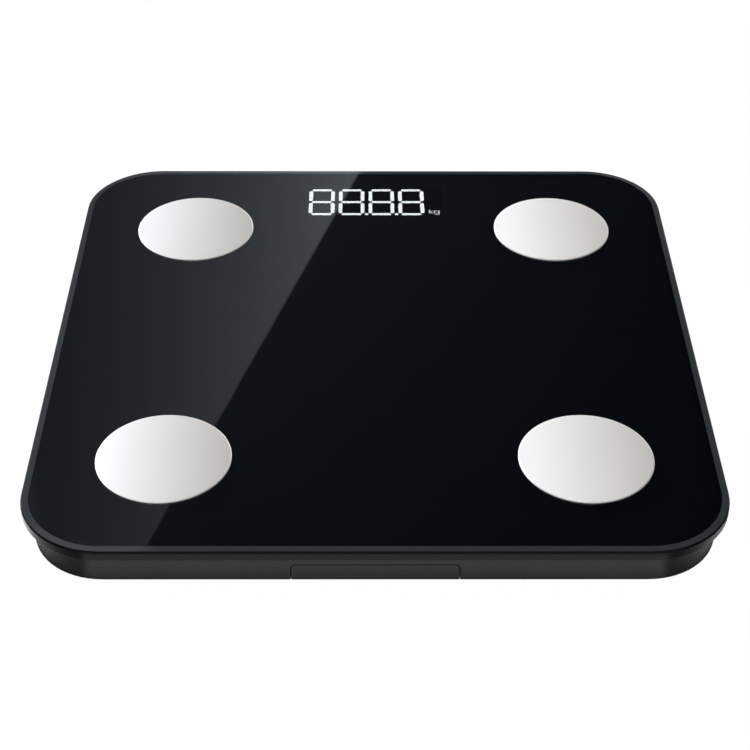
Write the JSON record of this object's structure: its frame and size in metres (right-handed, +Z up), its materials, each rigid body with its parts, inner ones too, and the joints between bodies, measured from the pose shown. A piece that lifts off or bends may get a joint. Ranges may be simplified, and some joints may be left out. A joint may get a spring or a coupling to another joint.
{
  "type": "digital bathroom scale",
  "caption": "Square glass-topped digital bathroom scale with round steel foot electrodes, lit digits, a shallow plastic tray, corner feet on load cells and a sliding battery door.",
  "frame": {"origin": "on the floor under the centre of the scale", "axes": "+Z up, -Y towards the edge with the battery door, +Y towards the edge with the display"},
  "size_m": [0.2608, 0.2608, 0.0236],
  "materials": {
    "tempered_glass": "polished tempered glass",
    "black_print": "black ceramic screen print",
    "smoked_film": "smoke-tinted film",
    "acrylic_foam_tape": "black acrylic foam tape",
    "clear_adhesive": "pressed adhesive film",
    "vulcanised_fibre": "red fibre",
    "tinned_brass": "tinned",
    "zinc_plated_steel": "bright zinc plated",
    "white_pvc": "wire insulation",
    "red_pvc": "wire insulation",
    "moulded_abs": "fine spark-eroded texture",
    "carrier_abs": "plain moulded",
    "foot_abs": "plain moulded",
    "button_abs": "smooth moulded",
    "spring_steel_plate": "stamped and nickel plated",
    "nickel_plated_steel": "nickel plated",
    "white_silicone": "cured sealant",
    "pad_rubber": "moulded rubber",
    "cell_sleeve": "printed sleeve over a steel can",
    "circuit_board": "solder mask over glass epoxy",
    "blue_circuit_board": "solder mask over glass epoxy",
    "chip_epoxy": "moulded epoxy",
    "natural_nylon": "moulded nylon",
    "black_nylon": "moulded nylon",
    "yellow_nylon": "moulded nylon",
    "white_polycarbonate": "white reflector",
    "milky_epoxy": "lit diffuser",
    "led_body": "phosphor over a white body",
    "black_foam": "closed-cell foam",
    "stainless_steel": "satin stainless steel"
  },
  "bodies": {
    "root": {"platform_glass": "tempered_glass", "back_print": "black_print", "display_window": "smoked_film", "bond_tape": "acrylic_foam_tape", "electrode_front_left": "stainless_steel", "electrode_front_right": "stainless_steel", "electrode_rear_left": "stainless_steel", "electrode_rear_right": "stainless_steel", "electrode_glue": "clear_adhesive", "electrode_washers": "vulcanised_fibre", "electrode_lugs": "tinned_brass", "electrode_nuts": "zinc_plated_steel", "electrode_wires": "white_pvc", "base_shell": "moulded_abs", "cell_carrier_front_left": "carrier_abs", "cell_carrier_front_right": "carrier_abs", "cell_carrier_rear_left": "carrier_abs", "cell_carrier_rear_right": "carrier_abs", "load_cell_front_left": "spring_steel_plate", "load_cell_front_right": "spring_steel_plate", "load_cell_rear_left": "spring_steel_plate", "load_cell_rear_right": "spring_steel_plate", "gauge_coats": "white_silicone", "carrier_screws": "zinc_plated_steel", "cell_wires_front_left": "red_pvc", "cell_wires_front_right": "red_pvc", "cell_wires_rear_left": "red_pvc", "cell_wires_rear_right": "red_pvc", "dry_cell_front": "cell_sleeve", "dry_cell_middle": "cell_sleeve", "dry_cell_rear": "cell_sleeve", "terminal_minus": "nickel_plated_steel", "terminal_plus": "nickel_plated_steel", "bridge_left": "nickel_plated_steel", "bridge_right": "nickel_plated_steel", "battery_leads": "red_pvc", "main_board": "circuit_board", "board_chips": "chip_epoxy", "radio_module": "blue_circuit_board", "wire_headers": "natural_nylon", "board_screws": "zinc_plated_steel", "unit_switch": "black_nylon", "display_housing": "white_polycarbonate", "display_diffusers": "milky_epoxy", "display_leds": "led_body", "display_gasket": "black_foam"},
    "battery_door": {"battery_door": "moulded_abs"},
    "unit_button": {"unit_button": "button_abs", "switch_plunger": "yellow_nylon"},
    "foot_front_left": {"foot_cup_front_left": "foot_abs", "foot_pad_front_left": "pad_rubber"},
    "foot_front_right": {"foot_cup_front_right": "foot_abs", "foot_pad_front_right": "pad_rubber"},
    "foot_rear_left": {"foot_cup_rear_left": "foot_abs", "foot_pad_rear_left": "pad_rubber"},
    "foot_rear_right": {"foot_cup_rear_right": "foot_abs", "foot_pad_rear_right": "pad_rubber"}
  },
  "joints": [
    {"name": "battery_door_slide", "type": "slide", "parent": "root", "child": "battery_door", "axis": [0, -1, 0], "range_m": [0, 0.04]},
    {"name": "unit_button_press", "type": "slide", "parent": "root", "child": "unit_button", "axis": [0, 0, 1], "range_m": [0, 0.0004], "stiffness_N_per_m": 3000, "springref_m": -0.0002},
    {"name": "foot_front_left_drop", "type": "slide", "parent": "root", "child": "foot_front_left", "axis": [0, 0, -1], "range_m": [0, 0.0005]},
    {"name": "foot_front_right_drop", "type": "slide", "parent": "root", "child": "foot_front_right", "axis": [0, 0, -1], "range_m": [0, 0.0005]},
    {"name": "foot_rear_left_drop", "type": "slide", "parent": "root", "child": "foot_rear_left", "axis": [0, 0, -1], "range_m": [0, 0.0005]},
    {"name": "foot_rear_right_drop", "type": "slide", "parent": "root", "child": "foot_rear_right", "axis": [0, 0, -1], "range_m": [0, 0.0005]}
  ]
}
